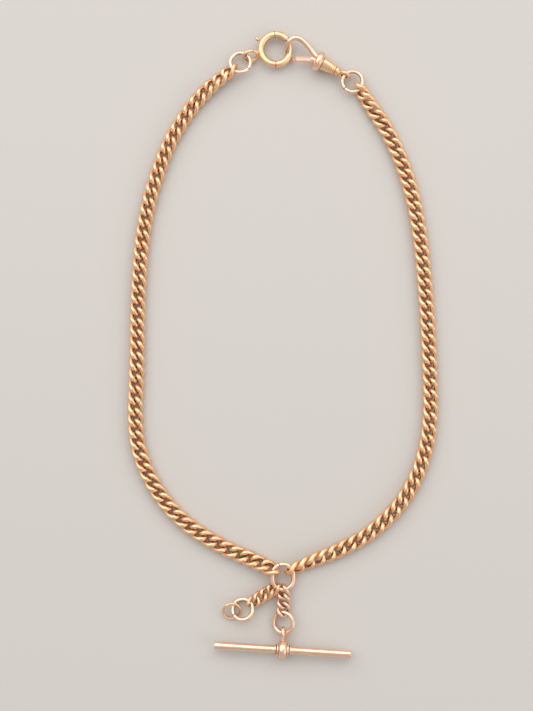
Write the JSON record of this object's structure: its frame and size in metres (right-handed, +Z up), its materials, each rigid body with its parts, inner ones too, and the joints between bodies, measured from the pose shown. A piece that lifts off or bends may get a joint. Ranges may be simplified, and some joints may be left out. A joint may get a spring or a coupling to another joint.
{
  "type": "pocket watch chain",
  "caption": "Curb-link watch chain in gold, closed by a bolt ring and swivel clip, with a T-bar for the waistcoat buttonhole and a short drop for a fob.",
  "frame": {"origin": "on the resting plane, under the middle of the laid-out chain", "axes": "+Y from the T-bar to the clasp, +X to the right, +Z up off the resting plane"},
  "size_m": [0.0912, 0.1838, 0.006],
  "materials": {
    "yellow_gold": "worn satin polish",
    "rose_gold": "worn satin polish",
    "spring_steel": "drawn wire"
  },
  "bodies": {
    "lower_chain": {"junction_ring": "rose_gold", "left_strand_10": "yellow_gold", "right_strand_10": "yellow_gold"},
    "left_strand_9": {"left_strand_9": "yellow_gold"},
    "right_strand_9": {"right_strand_9": "yellow_gold"},
    "left_strand_8": {"left_strand_8": "yellow_gold"},
    "right_strand_8": {"right_strand_8": "yellow_gold"},
    "left_strand_7": {"left_strand_7": "yellow_gold"},
    "right_strand_7": {"right_strand_7": "yellow_gold"},
    "left_strand_6": {"left_strand_6": "yellow_gold"},
    "right_strand_6": {"right_strand_6": "yellow_gold"},
    "left_strand_5": {"left_strand_5": "yellow_gold"},
    "right_strand_5": {"right_strand_5": "yellow_gold"},
    "left_strand_4": {"left_strand_4": "yellow_gold"},
    "right_strand_4": {"right_strand_4": "yellow_gold"},
    "left_strand_3": {"left_strand_3": "yellow_gold"},
    "right_strand_3": {"right_strand_3": "yellow_gold"},
    "left_strand_2": {"left_strand_2": "yellow_gold"},
    "right_strand_2": {"right_strand_2": "yellow_gold"},
    "left_strand_1": {"left_strand_1": "yellow_gold"},
    "right_strand_1": {"right_strand_1": "yellow_gold"},
    "jump_ring_left": {"jump_ring_left": "rose_gold"},
    "jump_ring_right": {"jump_ring_right": "rose_gold"},
    "bolt_ring": {"connector_loop": "yellow_gold", "connector_collar": "yellow_gold", "bolt_ring_housing": "yellow_gold", "bolt_ring_sleeve": "yellow_gold", "bolt_ring_arm": "yellow_gold", "bolt_spring": "spring_steel"},
    "bolt": {"bolt": "yellow_gold", "thumb_knob": "yellow_gold"},
    "swivel_eye": {"swivel_eye": "yellow_gold", "swivel_post": "yellow_gold"},
    "hook": {"hook": "rose_gold", "hook_collar": "rose_gold", "swivel_barrel": "yellow_gold", "tongue_pin": "rose_gold", "tongue_spring": "spring_steel"},
    "tongue": {"tongue": "rose_gold"},
    "t_drop_link_1": {"t_drop_link_1": "rose_gold"},
    "t_drop_link_2": {"t_drop_link_2": "rose_gold"},
    "t_drop_link_3": {"t_drop_link_3": "rose_gold"},
    "t_drop_ring": {"t_drop_ring": "rose_gold"},
    "bar_bail": {"bar_eye": "rose_gold", "bar_bead": "rose_gold"},
    "bar": {"bar_tube": "rose_gold", "bar_collars": "rose_gold", "bar_end_caps": "rose_gold"},
    "fob_drop_link_1": {"fob_drop_link_1": "yellow_gold"},
    "fob_drop_link_2": {"fob_drop_link_2": "yellow_gold"},
    "fob_drop_link_3": {"fob_drop_link_3": "yellow_gold"},
    "fob_drop_link_4": {"fob_drop_link_4": "yellow_gold"},
    "fob_drop_ring": {"fob_drop_ring": "rose_gold"},
    "split_ring": {"split_ring": "yellow_gold"}
  },
  "joints": [
    {"name": "left_fold_9", "type": "hinge", "parent": "lower_chain", "child": "left_strand_9", "pos_m": [-0.04157, -0.03268, 0.00161], "axis": [0.9997, 0.025, -0.0002], "range_deg": [-20, 20]},
    {"name": "right_fold_9", "type": "hinge", "parent": "lower_chain", "child": "right_strand_9", "pos_m": [0.04186, -0.03059, 0.0016], "axis": [0.9997, 0.025, -0.0002], "range_deg": [-20, 20]},
    {"name": "left_fold_8", "type": "hinge", "parent": "left_strand_9", "child": "left_strand_8", "pos_m": [-0.04318, -0.0229, 0.00161], "axis": [0.9997, 0.024, -0.0001], "range_deg": [-20, 20]},
    {"name": "right_fold_8", "type": "hinge", "parent": "right_strand_9", "child": "right_strand_8", "pos_m": [0.04319, -0.02082, 0.0016], "axis": [0.9997, 0.024, -0.0001], "range_deg": [-20, 20]},
    {"name": "left_fold_7", "type": "hinge", "parent": "left_strand_8", "child": "left_strand_7", "pos_m": [-0.0431, -0.013, 0.0016], "axis": [0.9997, 0.0235, -0.0001], "range_deg": [-20, 20]},
    {"name": "right_fold_7", "type": "hinge", "parent": "right_strand_8", "child": "right_strand_7", "pos_m": [0.04326, -0.01098, 0.00159], "axis": [0.9997, 0.0235, -0.0001], "range_deg": [-20, 20]},
    {"name": "left_fold_6", "type": "hinge", "parent": "left_strand_7", "child": "left_strand_6", "pos_m": [-0.04269, 0.00013, 0.00159], "axis": [0.9999, -0.0149, 0], "range_deg": [-20, 20]},
    {"name": "right_fold_6", "type": "hinge", "parent": "right_strand_7", "child": "right_strand_6", "pos_m": [0.04287, -0.00115, 0.00159], "axis": [0.9999, -0.0149, 0], "range_deg": [-20, 20]},
    {"name": "left_fold_5", "type": "hinge", "parent": "left_strand_6", "child": "left_strand_5", "pos_m": [-0.04248, 0.01318, 0.00159], "axis": [0.9999, -0.0149, 0], "range_deg": [-20, 20]},
    {"name": "right_fold_5", "type": "hinge", "parent": "right_strand_6", "child": "right_strand_5", "pos_m": [0.04211, 0.01192, 0.00159], "axis": [0.9999, -0.0149, 0], "range_deg": [-20, 20]},
    {"name": "left_fold_4", "type": "hinge", "parent": "left_strand_5", "child": "left_strand_4", "pos_m": [-0.04167, 0.02613, 0.00159], "axis": [0.9999, -0.0145, 0], "range_deg": [-20, 20]},
    {"name": "right_fold_4", "type": "hinge", "parent": "right_strand_5", "child": "right_strand_4", "pos_m": [0.04104, 0.02493, 0.00159], "axis": [0.9999, -0.0145, 0], "range_deg": [-20, 20]},
    {"name": "left_fold_3", "type": "hinge", "parent": "left_strand_4", "child": "left_strand_3", "pos_m": [-0.0399, 0.0389, 0.00159], "axis": [0.9999, -0.0136, 0], "range_deg": [-20, 20]},
    {"name": "right_fold_3", "type": "hinge", "parent": "right_strand_4", "child": "right_strand_3", "pos_m": [0.03922, 0.03782, 0.00159], "axis": [0.9999, -0.0136, 0], "range_deg": [-20, 20]},
    {"name": "left_fold_2", "type": "hinge", "parent": "left_strand_3", "child": "left_strand_2", "pos_m": [-0.03642, 0.05122, 0.00159], "axis": [0.9999, -0.0113, 0], "range_deg": [-20, 20]},
    {"name": "right_fold_2", "type": "hinge", "parent": "right_strand_3", "child": "right_strand_2", "pos_m": [0.03602, 0.0504, 0.00159], "axis": [0.9999, -0.0113, 0], "range_deg": [-20, 20]},
    {"name": "left_fold_1", "type": "hinge", "parent": "left_strand_2", "child": "left_strand_1", "pos_m": [-0.03127, 0.06285, 0.00159], "axis": [1, -0.0094, 0.0011], "range_deg": [-18, 18]},
    {"name": "right_fold_1", "type": "hinge", "parent": "right_strand_2", "child": "right_strand_1", "pos_m": [0.03084, 0.06227, 0.00166], "axis": [1, -0.0094, 0.0011], "range_deg": [-18, 18]},
    {"name": "left_clasp_fold", "type": "hinge", "parent": "left_strand_1", "child": "jump_ring_left", "pos_m": [-0.01484, 0.08088, 0.0022], "axis": [0.9906, -0.1367, 0.0013], "range_deg": [-10, 10]},
    {"name": "right_clasp_fold", "type": "hinge", "parent": "right_strand_1", "child": "jump_ring_right", "pos_m": [0.02211, 0.07578, 0.00225], "axis": [0.9906, -0.1367, 0.0013], "range_deg": [-10, 10]},
    {"name": "bolt_ring_tilt", "type": "hinge", "parent": "jump_ring_left", "child": "bolt_ring", "pos_m": [-0.01039, 0.08428, 0.0022], "axis": [0.9842, -0.1771, 0.0068], "range_deg": [-8, 8]},
    {"name": "swivel_eye_tilt", "type": "hinge", "parent": "jump_ring_right", "child": "swivel_eye", "pos_m": [0.01851, 0.07908, 0.0024], "axis": [0.9842, -0.1771, 0.0068], "range_deg": [-8, 8]},
    {"name": "bolt_slide", "type": "hinge", "parent": "bolt_ring", "child": "bolt", "pos_m": [-0.00205, 0.08658, 0.00215], "axis": [0, 0, 1], "range_deg": [0, 30], "stiffness_Nm_per_rad": 0.0004, "springref_deg": -20.05, "deforming": ["bolt_spring"]},
    {"name": "swivel", "type": "hinge", "parent": "swivel_eye", "child": "hook", "pos_m": [0.01403, 0.08109, 0.00267], "axis": [0.8848, -0.4587, -0.0819], "range_deg": [-4, 4]},
    {"name": "tongue_press", "type": "hinge", "parent": "hook", "child": "tongue", "pos_m": [0.0086, 0.0835, 0.00316], "axis": [-0.0727, 0.0377, -0.9966], "range_deg": [0, 14], "stiffness_Nm_per_rad": 0.0004, "springref_deg": -20.05},
    {"name": "t_drop_link_1_swing", "type": "hinge", "parent": "lower_chain", "child": "t_drop_link_1", "pos_m": [0.00027, -0.07092, 0.00225], "axis": [0, 0, 1], "range_deg": [-12, 12]},
    {"name": "t_drop_link_2_fold", "type": "hinge", "parent": "t_drop_link_1", "child": "t_drop_link_2", "pos_m": [0.00025, -0.07359, 0.00215], "axis": [1, 0, 0], "range_deg": [-15, 15]},
    {"name": "t_drop_link_3_swing", "type": "hinge", "parent": "t_drop_link_2", "child": "t_drop_link_3", "pos_m": [0.00022, -0.07624, 0.00215], "axis": [0, 0, 1], "range_deg": [-8, 8]},
    {"name": "t_drop_ring_fold", "type": "hinge", "parent": "t_drop_link_3", "child": "t_drop_ring", "pos_m": [0.00019, -0.07872, 0.0022], "axis": [1, 0, 0], "range_deg": [-12, 10]},
    {"name": "bar_eye_fold", "type": "hinge", "parent": "t_drop_ring", "child": "bar_bail", "pos_m": [0.00003, -0.08427, 0.00225], "axis": [1, 0, 0], "range_deg": [-30, 30]},
    {"name": "bar_spin", "type": "hinge", "parent": "bar_bail", "child": "bar", "pos_m": [-0.00009, -0.08917, 0.00275], "axis": [0.9979, -0.0645, 0], "continuous": true},
    {"name": "fob_link_1_swing", "type": "hinge", "parent": "lower_chain", "child": "fob_drop_link_1", "pos_m": [-0.00148, -0.07065, 0.00215], "axis": [0, 0, 1], "range_deg": [-6, 6]},
    {"name": "fob_link_2_fold", "type": "hinge", "parent": "fob_drop_link_1", "child": "fob_drop_link_2", "pos_m": [-0.00351, -0.07195, 0.00215], "axis": [0.5394, -0.842, 0], "range_deg": [-15, 15]},
    {"name": "fob_link_3_swing", "type": "hinge", "parent": "fob_drop_link_2", "child": "fob_drop_link_3", "pos_m": [-0.00564, -0.07332, 0.00215], "axis": [0, 0, 1], "range_deg": [-8, 8]},
    {"name": "fob_link_4_fold", "type": "hinge", "parent": "fob_drop_link_3", "child": "fob_drop_link_4", "pos_m": [-0.00777, -0.07469, 0.00215], "axis": [0.5394, -0.842, 0], "range_deg": [-15, 15]},
    {"name": "fob_ring_fold", "type": "hinge", "parent": "fob_drop_link_4", "child": "fob_drop_ring", "pos_m": [-0.0098, -0.07598, 0.00215], "axis": [0.5394, -0.842, 0], "range_deg": [-5, 10]},
    {"name": "split_ring_turn", "type": "hinge", "parent": "fob_drop_ring", "child": "split_ring", "pos_m": [-0.01494, -0.07802, 0.00175], "axis": [0.0798, -0.3988, 0.9135], "continuous": true}
  ],
  "couplings": [
    {"joint": "right_fold_9", "follows": "left_fold_9", "ratio": 1},
    {"joint": "right_fold_8", "follows": "left_fold_8", "ratio": 1},
    {"joint": "right_fold_7", "follows": "left_fold_7", "ratio": 1},
    {"joint": "right_fold_6", "follows": "left_fold_6", "ratio": 1},
    {"joint": "right_fold_5", "follows": "left_fold_5", "ratio": 1},
    {"joint": "right_fold_4", "follows": "left_fold_4", "ratio": 1},
    {"joint": "right_fold_3", "follows": "left_fold_3", "ratio": 1},
    {"joint": "right_fold_2", "follows": "left_fold_2", "ratio": 1},
    {"joint": "right_fold_1", "follows": "left_fold_1", "ratio": 1},
    {"joint": "right_clasp_fold", "follows": "left_clasp_fold", "ratio": 1},
    {"joint": "swivel_eye_tilt", "follows": "bolt_ring_tilt", "ratio": 1}
  ]
}
